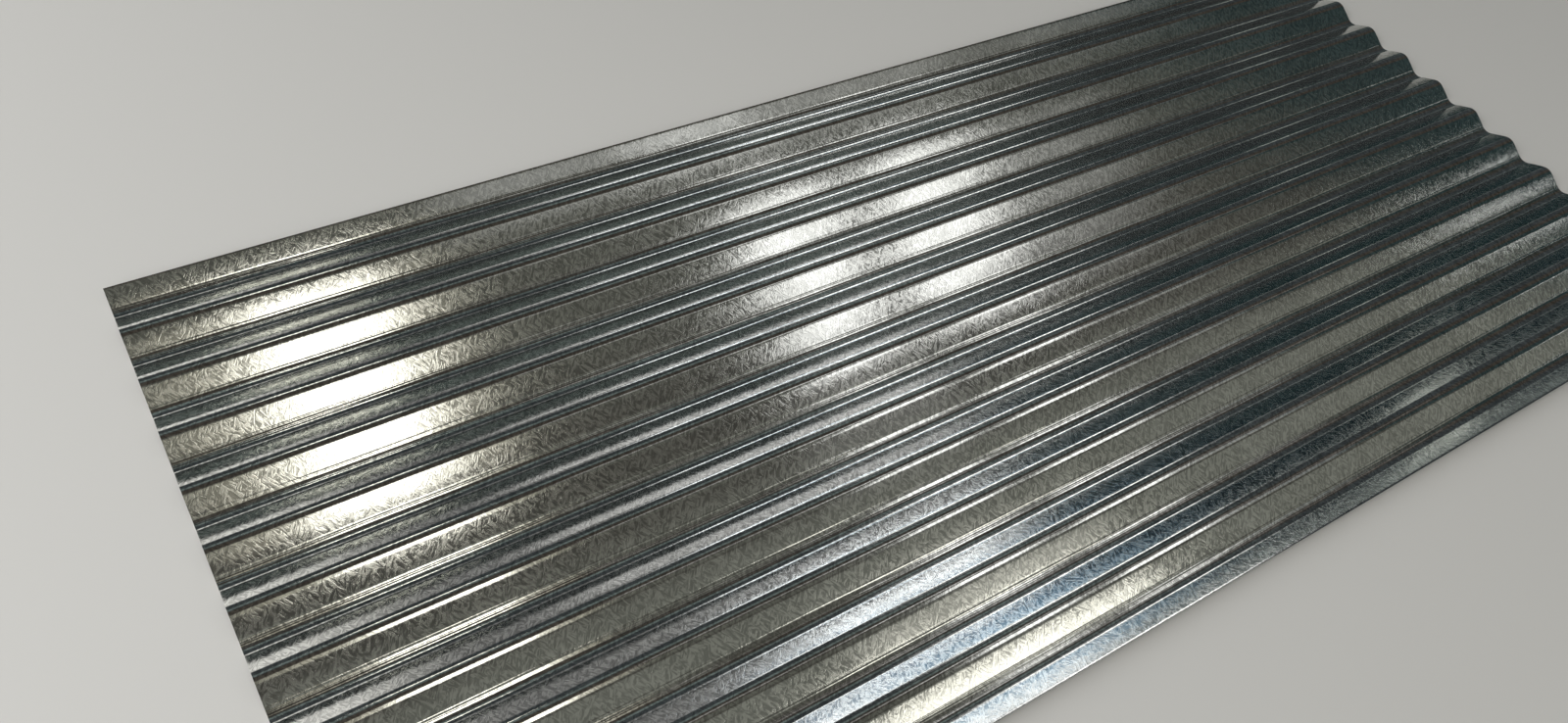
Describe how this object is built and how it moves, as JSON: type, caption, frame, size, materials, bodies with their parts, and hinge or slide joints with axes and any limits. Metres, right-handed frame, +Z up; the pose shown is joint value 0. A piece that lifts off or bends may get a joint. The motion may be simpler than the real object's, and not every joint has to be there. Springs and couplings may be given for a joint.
{
  "type": "corrugated metal sheet",
  "caption": "Galvanised steel sheet with even rounded corrugations along its length, for roofing, cladding or fencing.",
  "frame": {"origin": "under the middle of the sheet, on the level that its valleys rest on", "axes": "+X along the corrugations, +Y across them, +Z up out of the sheet"},
  "size_m": [2, 0.9, 0.016],
  "materials": {
    "galvanised_steel": "hot-dip galvanised, small spangle, bright"
  },
  "bodies": {
    "root": {"corrugated_sheet": "galvanised_steel"}
  },
  "joints": []
}
